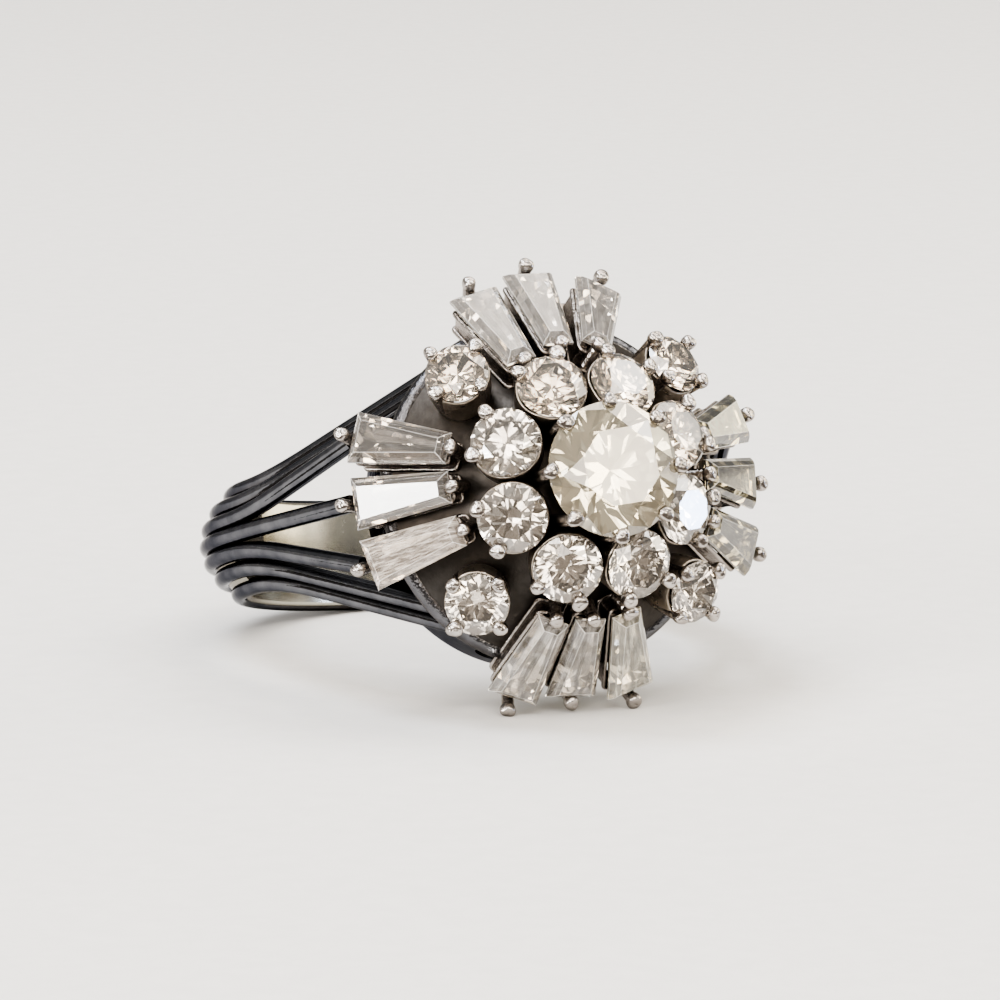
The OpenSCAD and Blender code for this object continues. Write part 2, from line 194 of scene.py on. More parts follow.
def roundFacets(width):
    c = roundCut
    r, half = width / 2, width * c["girdle"] / 2
    top, bottom = half + width * c["crown"], -half - width * c["pavilion"]
    tableR, slant = r * c["table"], math.cos(math.radians(22.5))
    midR = r * c["star"] / slant
    midZ = top + (midR * slant - tableR) * (half - top) / (r - tableR)
    lowR = r * c["lowerFacet"] / slant
    lowZ = bottom + lowR * slant * (-half - bottom) / r
    planes = [(Vector((0, 0, top)), Vector((0, 0, 1)))]
    for i in range(8):
        t = 45 * i
        midA, midB = polar(midR, t - 22.5, midZ), polar(midR, t + 22.5, midZ)
        lowA, lowB = polar(lowR, t - 22.5, lowZ), polar(lowR, t + 22.5, lowZ)
        rim = [polar(r, t + 22.5 * k, half) for k in range(3)]
        under = [polar(r, t + 22.5 * k, -half) for k in range(3)]
        planes.append(planeThrough(midA, midB, rim[0]))
        planes.append(planeThrough(polar(tableR, t, top), polar(tableR, t + 45, top), midB))
        planes.append(planeThrough(lowA, lowB, under[0]))
        for k in range(2):
            planes.append(planeThrough(midB, rim[k], rim[k + 1]))
            planes.append(planeThrough(lowB, under[k], under[k + 1]))
    return planes


def stepFacets(length):
    c = stepCut
    x, half = length / 2, c["girdle"] / 2
    planes = [(Vector((0, 0, half + c["crown"][-1][1])), Vector((0, 0, 1)))]

    def corners(inset, z):
        far, wide, narrow = x - inset, c["wide"] - inset, c["narrow"] - inset
        return [Vector((-far, -narrow, z)), Vector((far, -wide, z)),
                Vector((far, wide, z)), Vector((-far, narrow, z))]

    for steps, sign in ((c["crown"], 1), (c["pavilion"], -1)):
        for (inA, dropA), (inB, dropB) in zip(steps, steps[1:]):
            near, far = corners(inA, sign * (half + dropA)), corners(inB, sign * (half + dropB))
            for k in range(4):
                planes.append(planeThrough(near[k], near[(k + 1) % 4], far[k]))
    rim = corners(0, 0)
    above = corners(0, 1)
    for k in range(4):
        planes.append(planeThrough(rim[k], rim[(k + 1) % 4], above[k]))
    return planes


def cutBlank(outline, low, high, planes):
    bm = bmesh.new()
    under = [bm.verts.new((p.x, p.y, low)) for p in outline]
    over = [bm.verts.new((p.x, p.y, high)) for p in outline]
    bm.faces.new(under[::-1])
    bm.faces.new(over)
    for k in range(len(outline)):
        j = (k + 1) % len(outline)
        bm.faces.new((under[k], under[j], over[j], over[k]))
    for spot, facing in planes:
        bmesh.ops.bisect_plane(bm, geom=bm.verts[:] + bm.edges[:] + bm.faces[:], dist=sameSpot,
                               plane_co=spot, plane_no=facing, clear_outer=True)
        rim = [e for e in bm.edges if e.is_boundary]
        if rim:
            bmesh.ops.holes_fill(bm, edges=rim, sides=0)
    bm.verts.index_update()
    points = [v.co.copy() for v in bm.verts]
    faces = [tuple(v.index for v in f.verts) for f in bm.faces]
    bm.free()
    return points, faces


def roundStone(width):
    n = roundCut["girdleSides"]
    outline = [polar(width / 2, 360 * k / n, 0) for k in range(n)]
    return cutBlank(outline, -width, width, roundFacets(width))


def baguetteStone(length):
    reach, half = 2 * length, stepCut["blankHalf"]
    outline = [Vector((sx * reach, sy * reach, 0)) for sx, sy in ((-1, -1), (1, -1), (1, 1), (-1, 1))]
    return cutBlank(outline, -half, half, stepFacets(length))


# every stone's place, so that the metal can be kept clear of it
seatGap = 0.02


def roundFit(seat, width):
    return seat, roundFacets(width), width / 2


stoneFits = []
for kind, seats in roundRows.items():
    stoneFits += [roundFit(seat, roundSeats[kind + "Width"]) for seat in seats]
stoneFits.append(roundFit(centreSeat(), roundSeats["centreWidth"]))
for row in fanRows.values():
    seat, length = baguetteSeat(row)
    stoneFits.append((seat, stepFacets(length), None))


def keptClear(shape):
    # pushes metal that would run into a stone back to the stone's nearest facet
    p = np.array([tuple(v) for v in shape[0]], float)
    for seat, planes, girdle in stoneFits:
        turn = np.array(seat.to_3x3())
        place = np.array(seat.translation)
        local = (p - place) @ turn
        spots = np.array([tuple(s) for s, f in planes])
        facings = np.array([tuple(f) for s, f in planes])
        depth = (spots * facings).sum(1)[None, :] + seatGap - local @ facings.T
        if girdle is not None:
            rho = np.hypot(local[:, 0], local[:, 1])
            depth = np.c_[depth, girdle + seatGap - rho]
        inside = (depth > 0).all(1)
        if not inside.any():
            continue
        which = np.argmin(depth[inside], axis=1)
        amount = depth[inside][np.arange(len(which)), which]
        own = local[inside]
        way = np.zeros_like(own)
        plane = which < len(facings)
        way[plane] = facings[which[plane]]
        if (~plane).any():
            out = own[~plane] * [1, 1, 0]
            way[~plane] = out / np.linalg.norm(out, axis=1)[:, None]
        p[inside] = (own + way * amount[:, None]) @ turn.T + place
    return [Vector(v) for v in p], shape[1]


# one shader and the piece's own coordinates for every finish
def newMaterial(name):
    material = bpy.data.materials.new(name)
    material.use_nodes = True
    nodes, links = material.node_tree.nodes, material.node_tree.links
    nodes.clear()
    output = nodes.new("ShaderNodeOutputMaterial")
    shader = nodes.new("ShaderNodeBsdfPrincipled")
    links.new(shader.outputs["BSDF"], output.inputs["Surface"])
    place = nodes.new("ShaderNodeTexCoord")
    return material, nodes, links, shader, place.outputs["Object"]


def noise(nodes, links, place, scale, detail, rough=0.55):
    node = nodes.new("ShaderNodeTexNoise")
    node.inputs["Scale"].default_value = scale
    node.inputs["Detail"].default_value = detail
    node.inputs["Roughness"].default_value = rough
    links.new(place, node.inputs["Vector"])
    return node.outputs["Fac"]


def ranged(nodes, links, value, low, high, fromLow=0.3, fromHigh=0.7):
    node = nodes.new("ShaderNodeMapRange")
    node.inputs["From Min"].default_value = fromLow
    node.inputs["From Max"].default_value = fromHigh
    node.inputs["To Min"].default_value = low
    node.inputs["To Max"].default_value = high
    links.new(value, node.inputs["Value"])
    return node.outputs["Result"]


def mixedColour(nodes, links, factor, first, second):
    node = nodes.new("ShaderNodeMix")
    node.data_type = "RGBA"
    links.new(factor, node.inputs["Factor"])
    for value, socket in ((first, node.inputs["A"]), (second, node.inputs["B"])):
        if isinstance(value, tuple):
            socket.default_value = value + (1.0,)
        else:
            links.new(value, socket)
    return node.outputs["Result"]


def whiteMetal(name, look):
    material, nodes, links, shader, place = newMaterial(name)
    shader.inputs["Metallic"].default_value = 1.0
    shader.inputs["Specular Tint"].default_value = look["edgeTint"] + (1.0,)
    # recesses are painted dark by ambient occlusion: partly grime, partly the shade that falls in them
    recess = nodes.new("ShaderNodeAmbientOcclusion")
    recess.samples = look["recessSamples"]
    recess.inputs["Distance"].default_value = look["recessReach"] * metre
    grimeAndShade = ranged(nodes, links, recess.outputs["AO"], look["grimeAndShade"], 0.0,
                   look["grimeAndShadeFrom"], look["grimeAndShadeTo"])
    cloud = noise(nodes, links, place, look["cloudScale"], look["cloudDetail"])
    clouded = mixedColour(nodes, links, ranged(nodes, links, cloud, 0.0, 1.0),
                          look["colour"], look["cloudColour"])
    colour = mixedColour(nodes, links, grimeAndShade, clouded, look["grimeAndShadeColour"])
    links.new(colour, shader.inputs["Base Color"])
    wear = noise(nodes, links, place, look["wearScale"], look["wearDetail"], look["wearRough"])
    links.new(ranged(nodes, links, wear, look["smooth"], look["rough"]), shader.inputs["Roughness"])
    stretch = nodes.new("ShaderNodeMapping")
    stretch.inputs["Scale"].default_value = look["scratchStretch"]
    links.new(place, stretch.inputs["Vector"])
    scratches = noise(nodes, links, stretch.outputs["Vector"], look["scratchScale"],
                      look["scratchDetail"])
    dents = noise(nodes, links, place, look["dentScale"], look["dentDetail"])
    relief = nodes.new("ShaderNodeMath")
    relief.operation = "ADD"
    links.new(scratches, relief.inputs[0])
    links.new(ranged(nodes, links, dents, 0.0, look["dentShare"], *look["dentSpan"]), relief.inputs[1])
    bump = nodes.new("ShaderNodeBump")
    bump.inputs["Strength"].default_value = look["bump"]
    bump.inputs["Distance"].default_value = look["bumpDepth"] * metre
    links.new(relief.outputs["Value"], bump.inputs["Height"])
    links.new(bump.outputs["Normal"], shader.inputs["Normal"])
    return material


# clouds of tarnish over the metal, grime and painted shade darkening its recesses, and uneven polish
# with scratches and dents
polished = dict(
    colour=(0.60, 0.565, 0.535), cloudColour=(0.42, 0.385, 0.36), cloudScale=1400, cloudDetail=5.0,
    grimeAndShadeColour=(0.030, 0.024, 0.019), grimeAndShade=0.93, grimeAndShadeFrom=0.06, grimeAndShadeTo=0.66,
    recessReach=1.1, recessSamples=6, wearScale=2600, wearDetail=6.0, wearRough=0.65,
    smooth=0.10, rough=0.24, scratchStretch=(1, 9, 3), scratchScale=2400, scratchDetail=3.0,
    dentScale=2400, dentDetail=2.0, dentShare=1.8, dentSpan=(0.2, 0.8),
    bump=0.4, bumpDepth=0.06, edgeTint=(0.6, 0.58, 0.56))
# wires painted near black as a painted reflection of dark surroundings; the lamps give their highlights
wireFinishPaintedDark = dict(
    polished, colour=(0.165, 0.168, 0.18), cloudColour=(0.10, 0.103, 0.113), smooth=0.04, rough=0.11,
    edgeTint=(0.34, 0.34, 0.35), scratchStretch=(2, 2, 8), scratchScale=1500, recessReach=1.2,
    bump=0.12, bumpDepth=0.03, grimeAndShadeFrom=0.2, grimeAndShadeTo=0.85)
# frames painted darker, with more recess darkening, for the shade they sit in between the stones
frameFinishShaded = dict(
    polished, colour=(0.50, 0.465, 0.435), cloudColour=(0.32, 0.29, 0.27), grimeAndShade=0.85,
    grimeAndShadeFrom=0.05, grimeAndShadeTo=0.75)
cupFinish = dict(
    polished, colour=(0.50, 0.445, 0.38), cloudColour=(0.30, 0.26, 0.215), grimeAndShade=0.7,
    grimeAndShadeFrom=0.0, grimeAndShadeTo=0.6, recessReach=0.9, smooth=0.24, rough=0.4)
# base ring painted near black like the wires, for the shade and dark reflections under the head
ringFinishPaintedDark = dict(
    polished, colour=(0.15, 0.15, 0.16), cloudColour=(0.09, 0.09, 0.095), smooth=0.12, rough=0.25)
# plate top painted near black for the shade between the settings
plateFinishShaded = dict(
    polished, colour=(0.070, 0.065, 0.061), cloudColour=(0.042, 0.039, 0.036), smooth=0.34, rough=0.5,
    bump=0.2, bumpDepth=0.04, grimeAndShadeFrom=0.3, grimeAndShadeTo=0.95)
insideFinish = dict(
    polished, colour=(0.42, 0.40, 0.38), cloudColour=(0.28, 0.26, 0.24), smooth=0.2, rough=0.36)
# the lining's cream tint is painted: it stands in for warm light reflected in the inner face
liningFinish = dict(
    polished, colour=(0.46, 0.44, 0.38), cloudColour=(0.40, 0.38, 0.325), smooth=0.2, rough=0.28,
    bump=0.05, bumpDepth=0.01, cloudScale=300, scratchStretch=(1, 1, 6), scratchScale=900)
finishes = dict(
    polished=whiteMetal("polishedMetal", polished), wire=whiteMetal("wireMetalPaintedDark", wireFinishPaintedDark),
    frame=whiteMetal("frameMetalShaded", frameFinishShaded), cup=whiteMetal("cupMetal", cupFinish),
    ring=whiteMetal("ringMetalPaintedDark", ringFinishPaintedDark), plate=whiteMetal("platePaintedShade", plateFinishShaded),
    inside=whiteMetal("plateUnderside", insideFinish), lining=whiteMetal("satinLining", liningFinish))


def facetEdges(nodes, links, look):
    # near one along a facet's edges, where a rounded normal leaves the flat one
    rounded = nodes.new("ShaderNodeBevel")
    rounded.samples = look["edgeSamples"]
    rounded.inputs["Radius"].default_value = look["edgeWidth"] * metre
    flat = nodes.new("ShaderNodeNewGeometry")
    agreement = nodes.new("ShaderNodeVectorMath")
    agreement.operation = "DOT_PRODUCT"
    links.new(rounded.outputs["Normal"], agreement.inputs[0])
    links.new(flat.outputs["True Normal"], agreement.inputs[1])
    size = nodes.new("ShaderNodeMath")
    size.operation = "ABSOLUTE"
    links.new(agreement.outputs["Value"], size.inputs[0])
    return ranged(nodes, links, size.outputs["Value"], 1.0, 0.0, *look["edgeSpan"])


def stoneMaterial(name, look):
    material, nodes, links, shader, place = newMaterial(name)
    shader.inputs["Transmission Weight"].default_value = look["through"]
    shader.inputs["IOR"].default_value = look["ior"]
    haze = noise(nodes, links, place, look["hazeScale"], look["hazeDetail"])
    cloudy = ranged(nodes, links, haze, look["clear"], look["hazy"], *look["hazeSpan"])
    tint = noise(nodes, links, place, look["tintScale"], look["tintDetail"])
    tinted = ranged(nodes, links, tint, 0.0, 1.0, *look["tintSpan"])
    colour = mixedColour(nodes, links, tinted, look["colour"], look["otherColour"])
    if "streaks" in look:
        # fine veils that run along the stone, from its own flat coordinates
        flat = nodes.new("ShaderNodeUVMap")
        flat.uv_map = "stoneFlat"
        stretch = nodes.new("ShaderNodeMapping")
        stretch.inputs["Scale"].default_value = look["streakStretch"]
        links.new(flat.outputs["UV"], stretch.inputs["Vector"])
        streak = noise(nodes, links, stretch.outputs["Vector"], 1.0, look["streakDetail"],
                       look["streakRough"])
        veil = ranged(nodes, links, streak, 0.0, 1.0, *look["streaks"])
        colour = mixedColour(nodes, links, veil, look["shade"], colour)
        if "patch" in look:
            # painted reflection: faint square patches standing in for the lower steps mirroring each
            # other
            cells = nodes.new("ShaderNodeTexVoronoi")
            cells.distance = "CHEBYCHEV"
            cells.inputs["Scale"].default_value = look["patchScale"]
            links.new(flat.outputs["UV"], cells.inputs["Vector"])
            level = ranged(nodes, links, cells.outputs["Color"], 0.0, 1.0, *look["patchSpan"])
            colour = mixedColour(nodes, links, level, look["patch"], colour)
        through = ranged(nodes, links, veil, look["through"], look["veiled"], 0.0, 1.0)
        # painted highlight: thin pale lines along the facet edges, where they catch the light
        edge = facetEdges(nodes, links, look)
        colour = mixedColour(nodes, links, edge, colour, look["edgeHighlightColour"])
        dimmed = nodes.new("ShaderNodeMath")
        dimmed.operation = "MULTIPLY"
        links.new(through, dimmed.inputs[0])
        links.new(ranged(nodes, links, edge, 1.0, look["edgeThrough"], 0.0, 1.0), dimmed.inputs[1])
        links.new(dimmed.outputs["Value"], shader.inputs["Transmission Weight"])
        bump = nodes.new("ShaderNodeBump")
        bump.inputs["Strength"].default_value = look["bump"]
        bump.inputs["Distance"].default_value = look["bumpDepth"] * metre
        links.new(streak, bump.inputs["Height"])
        links.new(bump.outputs["Normal"], shader.inputs["Normal"])
    links.new(cloudy, shader.inputs["Roughness"])
    links.new(colour, shader.inputs["Base Color"])
    return material


# through is the share of light that enters the stone, and veiled the same where a veil lies
clearStone = dict(
    ior=2.3, colour=(1.0, 0.925, 0.83), otherColour=(0.985, 0.89, 0.785), tintScale=500,
    tintDetail=1.0, tintSpan=(0.35, 0.65), hazeScale=1800, hazeDetail=3.0, hazeSpan=(0.45, 0.75),
    clear=0.0, hazy=0.03, through=0.96)
centreLook = dict(clearStone, colour=(1.0, 0.92, 0.73), otherColour=(1.0, 0.89, 0.66), through=0.92)
streaky = dict(
    clearStone, ior=2.0, through=0.97, veiled=0.7, shade=(0.90, 0.84, 0.78), tintScale=900, hazy=0.05,
    streaks=(0.5, 0.8), streakStretch=(0.7, 4.0, 1.0), streakDetail=5.0, streakRough=0.7,
    bump=0.1, bumpDepth=0.01, patchSpan=(0.42, 0.56), edgeWidth=0.05, edgeSamples=6,
    edgeSpan=(0.95, 0.997), edgeHighlightColour=(1.0, 0.985, 0.95), edgeThrough=0.3)
brightLook = dict(
    streaky, colour=(1.0, 0.96, 0.91), otherColour=(1.0, 0.94, 0.88), shade=(0.97, 0.92, 0.87),
    patch=(0.84, 0.79, 0.73), patchScale=1.6, streaks=(0.34, 0.70), streakStretch=(0.9, 3.0, 1.0),
    through=0.96, veiled=0.74, bump=0.05)
streakedLook = dict(
    streaky, otherColour=(0.96, 0.87, 0.79), shade=(0.93, 0.82, 0.72), streaks=(0.42, 0.66),
    streakStretch=(1.4, 9.0, 1.0), through=0.9, veiled=0.4, bump=0.2, bumpDepth=0.02)
greyLook = dict(
    streaky, colour=(0.99, 0.955, 0.91), shade=(0.92, 0.88, 0.83), patch=(0.62, 0.57, 0.50),
    patchScale=2.0, streaks=(0.40, 0.8), through=0.92, veiled=0.55)
clearLook = dict(streaky, colour=(1.0, 0.95, 0.89), streaks=(0.5, 0.9), through=0.94, bump=0.05)
yellowLook = dict(
    streaky, ior=2.1, colour=(1.0, 0.95, 0.68), otherColour=(1.0, 0.92, 0.58), hazy=0.005,
    shade=(1.0, 0.94, 0.72), patch=(0.42, 0.38, 0.26), patchScale=2.6, streaks=(0.34, 0.70),
    streakStretch=(0.8, 4.0, 1.0), through=1.0, veiled=0.93, bump=0.03)
sandyLook = dict(
    streaky, colour=(1.0, 0.96, 0.82), otherColour=(1.0, 0.94, 0.76), shade=(1.0, 0.96, 0.84),
    streaks=(0.45, 0.75), through=0.9, veiled=0.45, bump=0.05)
stoneLooks = dict(
    centre=stoneMaterial("centreCrystal", centreLook), round=stoneMaterial("roundCrystal", clearStone),
    bright=stoneMaterial("brightBaguette", brightLook),
    streaked=stoneMaterial("streakedBaguette", streakedLook),
    grey=stoneMaterial("greyBaguette", greyLook), clear=stoneMaterial("clearBaguette", clearLook),
    yellow=stoneMaterial("yellowBaguette", yellowLook), sandy=stoneMaterial("sandyBaguette", sandyLook))
baguetteLooks = dict(
    west_1="clear", west_2="clear", west_3="streaked",
    north_1="bright", north_2="bright", north_3="bright",
    east_1="yellow", east_2="yellow", east_3="yellow",
    south_1="grey", south_2="grey", south_3="sandy")

# foil on all baguettes and these rounds, on the faces below this height in the stone
foiledRounds = ["innerStone1", "innerStone2", "innerStone3", "cornerStone1", "cornerStone2"]
foilLook = dict(colour=(0.98, 0.95, 0.91), otherColour=(0.89, 0.85, 0.79), scale=1500, detail=4.0,
                colourSpan=(0.4, 0.7), smooth=0.02, rough=0.12, roughSpan=(0.4, 0.75), below=-0.1)


def foilMaterial(name, look):
    # silvered back of a pasted stone, seen through it
    material, nodes, links, shader, place = newMaterial(name)
    shader.inputs["Metallic"].default_value = 1.0
    patch = noise(nodes, links, place, look["scale"], look["detail"])
    tinted = ranged(nodes, links, patch, 0.0, 1.0, *look["colourSpan"])
    links.new(mixedColour(nodes, links, tinted, look["colour"], look["otherColour"]),
              shader.inputs["Base Color"])
    links.new(ranged(nodes, links, patch, look["smooth"], look["rough"], *look["roughSpan"]),
              shader.inputs["Roughness"])
    return material


foil = foilMaterial("stoneFoil", foilLook)
print("finishes ready:", len(finishes) + len(stoneLooks))

weldReach = 2e-7  # in metres: nearer points of a piece are one
flatSlant = 0.35  # how far a stone's flat coordinates lean with depth


def makePiece(name, shape, matrix, material, smoothBelow=40, nodes=(), seat=None, backed=False):
    bm = bmesh.new()
    verts = [bm.verts.new(matrix @ Vector(p)) for p in shape[0]]
    for face in shape[1]:
        ring = [verts[k] for k in face]
        if len(set(ring)) > 2:
            bm.faces.new(ring)
    bmesh.ops.remove_doubles(bm, verts=bm.verts[:], dist=weldReach)
    bmesh.ops.recalc_face_normals(bm, faces=bm.faces[:])
    if seat:
        # a stone: its own length and width in millimetres, and foil on its lower faces
        layer = bm.loops.layers.uv.new("stoneFlat")
        back = (matrix @ seat).inverted()
        for face in bm.faces:
            middle = back @ face.calc_center_median()
            face.material_index = 1 if backed and middle.z < foilLook["below"] else 0
            for loop in face.loops:
                own = back @ loop.vert.co
                loop[layer].uv = (own.x, own.y + flatSlant * own.z)
    mesh = bpy.data.meshes.new(name)
    bm.to_mesh(mesh)
    bm.free()
    mesh.materials.append(material)
    if backed:
        mesh.materials.append(foil)
    if smoothBelow:
        mesh.shade_smooth()
        mesh.set_sharp_from_angle(angle=math.radians(smoothBelow))
    else:
        mesh.shade_flat()
    piece = bpy.data.objects.new(name, mesh)
    bpy.context.scene.collection.objects.link(piece)
    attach(piece, "root")
    if nodes:
        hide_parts(*nodes)
    return piece


def metalPiece(name, shape, matrix, finish, smoothBelow=40):
    return makePiece(name, shape, matrix, finishes[finish], smoothBelow, ["mount_metal"])


# shank: seven wires side by side round the back, smooth inside; angles in degrees
shank = dict(fingerR=8.35, wall=1.25, wireR=0.35, pitch=0.64, dome=1.1, lastWire=3, pastHalf=5.0,
             backEdge=0.2, sunk=0.2, bendLead=2.3, sides=20, backSteps=110, bendSteps=10,
             straightSteps=6, liningSmooth=30)
# the smooth inner band's two edges
liningEdge = dict(out=0.02, inward=0.06, bevel=0.12, soft=0.16, softSteps=4)
# place in the row at the back, then the far end on the head: turn, reach and height
shankWires = [(3, 128, 6.28, -0.5), (2, 139, 6.28, -0.5), (1, 162.7, 8.02, -0.6), (0, 180, 7.95, -0.62),
              (-1, 197.4, 7.95, -0.62), (-2, 221, 6.28, -0.5), (-3, 232, 6.28, -0.5)]


def wireReach(k):
    s = shank
    return s["fingerR"] + s["wall"] + s["wireR"] - s["dome"] * k * k / s["lastWire"] ** 2


def wireSide(wire):
    # left-hand run, from the head to where the back begins
    k, turn, reach, height = wire
    a = math.radians(shank["sunk"] - shank["pastHalf"])
    start = Vector((-wireReach(k) * math.cos(a), wireReach(k) * math.sin(a), k * shank["pitch"]))
    corner = start + shank["bendLead"] * Vector((-math.sin(a), -math.cos(a), 0))
    finish = headToRing @ polar(reach, turn, height)
    leave = corner + shank["bendLead"] * (finish - corner).normalized()
    run = [blendOf(finish, leave, s / shank["straightSteps"]) for s in range(shank["straightSteps"])]
    for s in range(shank["bendSteps"], -1, -1):
        t = s / shank["bendSteps"]
        run.append(start * (1 - t) ** 2 + corner * (2 * t * (1 - t)) + leave * t * t)
    return run


def wirePath(wire):
    left = wireSide(wire)
    k = wire[0]
    half = 90 + shank["pastHalf"] - shank["sunk"]
    back = []
    reach, rise = wireReach(k), k * shank["pitch"]
    for s in range(1, shank["backSteps"]):
        a = math.radians(90 + half - 2 * half * s / shank["backSteps"])
        back.append(Vector((reach * math.cos(a), reach * math.sin(a), rise)))
    return left + back + [Vector((-p.x, p.y, p.z)) for p in reversed(left)]


def liningSection():
    s, edge = shank, liningEdge
    half = s["lastWire"] * s["pitch"] + s["backEdge"]
    outer = [(wireReach(wire[0]), wire[0] * s["pitch"]) for wire in shankWires]
    outer[0] = (outer[0][0] + edge["out"], half - edge["inward"])
    outer[-1] = (outer[-1][0] + edge["out"], edge["inward"] - half)
    inner = []
    for step in range(edge["softSteps"] + 1):
        a = math.radians(90 * step / edge["softSteps"])
        inner.append((s["fingerR"] + edge["soft"] * (1 - math.sin(a)),
                      -half + edge["soft"] * (1 - math.cos(a))))
    low, high = (outer[-1][0] - edge["bevel"], -half), (outer[0][0] - edge["bevel"], half)
    return outer + [low] + inner + [(r, -z) for r, z in reversed(inner)] + [high]


def shankLining():
    section = liningSection()
    half = 90 + shank["pastHalf"]
    rings = []
    for s in range(shank["backSteps"] + 1):
        a = math.radians(90 - half + 2 * half * s / shank["backSteps"])
        rings.append([Vector((r * math.cos(a), r * math.sin(a), z)) for r, z in section])
    return loft(rings)


wireShapes = [sweep(wirePath(wire), shank["wireR"], shank["sides"]) for wire in shankWires]
metalPiece("shankWires", joined(wireShapes), ringToRow, "wire")
metalPiece("shankLining", shankLining(), ringToRow, "lining", shank["liningSmooth"])
print("shank wires:", len(wireShapes))

# head: domed plate, rim wire and the pierced wall under it
headPlate = dict(ridge=[(0.0, 3.9), (1.9, 3.7), (6.4, -0.12)], ridgeSteps=20, crownBulge=0.08, wall=0.5,
                 rimExtra=0.25, sides=144, smoothBelow=50, sharpFrom=32, topFrom=0.05,
                 rimR=6.4, rimHeight=-0.5, rimWireR=0.38, rimWireSides=14)
gallery = dict(depth=2.8, wall=0.5, out=0.05, smoothBelow=30, holeR=0.6, drillIn=1.2, drillLength=2.4)
lightHoles = dict(share=0.2, innerFrom=-3.6, innerLength=2.6, cornerFrom=-3.4, cornerLength=2.2)


def plateProfile():
    h = headPlate
    (topR, topZ), (bendR, bendZ), (edgeR, edgeZ) = h["ridge"]
    outer, inner = [], []
    for s in range(h["ridgeSteps"] + 1):
        t = s / h["ridgeSteps"]
        r = edgeR * t
        if r <= bendR:
            z = blendOf(topZ, bendZ, r / bendR)
        else:
            u = (r - bendR) / (edgeR - bendR)
            z = blendOf(bendZ, edgeZ, u) + h["crownBulge"] * math.sin(math.pi * u)
        outer.append((r, z))
        inner.append((max(r - h["rimExtra"] * t, topR), z - h["wall"] - h["rimExtra"] * t))
    return outer + inner[::-1]


def wallFoot(r, turn):
    # the wall ends at its depth, or above that where it meets the finger hole
    x = r * math.cos(math.radians(turn))
    return max(headPlate["rimHeight"] - gallery["depth"],
               math.sqrt(shank["fingerR"] ** 2 - x * x) - ringLie["headRise"])


def galleryWall():
    sides, top = headPlate["sides"], headPlate["rimHeight"]
    outerR = headPlate["rimR"] + gallery["out"]
    innerR = outerR - gallery["wall"]
    rings = []
    for s in range(sides):
        turn = 360 * s / sides
        rings.append([polar(outerR, turn, wallFoot(outerR, turn)), polar(outerR, turn, top),
                      polar(innerR, turn, top), polar(innerR, turn, wallFoot(innerR, turn))])
    return loft(rings, closedAround=True)


def rimWire():
    h = headPlate
    path = [polar(h["rimR"], 360 * s / h["sides"], h["rimHeight"]) for s in range(h["sides"])]
    return sweep(path, h["rimWireR"], h["rimWireSides"], closedAround=True)


def post(length, r, sides=28):
    return loft([[polar(r, 360 * s / sides, z) for s in range(sides)] for z in (0, length)])


def cutAway(piece, shape, matrix):
    # cuts the joined cutters out of a piece
    cutter = makePiece("cutter", shape, matrix, finishes["plate"])
    cut = piece.modifiers.new("holes", "BOOLEAN")
    cut.object, cut.operation, cut.solver = cutter, "DIFFERENCE", "EXACT"
    cut.use_self = True
    fixed = piece.evaluated_get(bpy.context.evaluated_depsgraph_get())
    mesh = bpy.data.meshes.new_from_object(fixed)
    piece.modifiers.clear()
    piece.data = mesh
    bpy.data.objects.remove(cutter)
    mesh.set_sharp_from_angle(angle=math.radians(headPlate["sharpFrom"]))


plate = metalPiece("domedPlate", lathe(plateProfile(), headPlate["sides"]), headToRow, "plate",
                   headPlate["smoothBelow"])
holes = []
for kind, seats in roundRows.items():
    drill = post(lightHoles[kind + "Length"], lightHoles["share"] * roundSeats[kind + "Width"])
    start = Matrix.Translation((0, 0, lightHoles[kind + "From"]))
    holes += [moved(drill, seat @ start) for seat in seats]
cutAway(plate, joined(holes), headToRow)
plate.data.materials.clear()
plate.data.materials.append(finishes["plate"])
plate.data.materials.append(finishes["inside"])
headWay = (headToRow.to_3x3() @ Vector((0, 0, 1))).normalized()
for face in plate.data.polygons:
    # the top, in the shade between the settings, gets the finish with painted shade; the underside
    # stays plain metal
    face.material_index = 0 if face.normal.dot(headWay) > headPlate["topFrom"] else 1
# the wall takes the wire finish, painted near black
wall = metalPiece("galleryWall", galleryWall(), headToRow, "wire", gallery["smoothBelow"])
drill = post(gallery["drillLength"], gallery["holeR"])
holes = []
for turn in innerTurns:
    start = polar(headPlate["rimR"] - gallery["drillIn"], turn,
                  headPlate["rimHeight"] - gallery["depth"] / 2)
    holes.append(moved(drill, Matrix.Translation(start) @ turnZ(turn) @ turnY(90)))
cutAway(wall, joined(holes), headToRow)
metalPiece("baseRing", rimWire(), headToRow, "ring")
print("head plate and gallery made")

# settings: a cup or an open frame for each stone, and prongs
prongLook = dict(stemR=0.24, footSwell=0.1, stemSteps=14, beadR=0.30, beadRise=0.25, beadFrom=0.3,
                 beadSteps=12, boxy=0.72, neckShare=0.98, neckUntil=1.2, sides=20, outLift=0.27,
                 wobble=0.08, lump=0.07, lumpMix=0.6, lumpFrom=0.5, lumpLift=0.5,
                 footShare=0.36, footOut=0.1, footUp=0.9,
                 innerTurns=[-41, 41], cornerTurns=[0, 90, 180, 270])


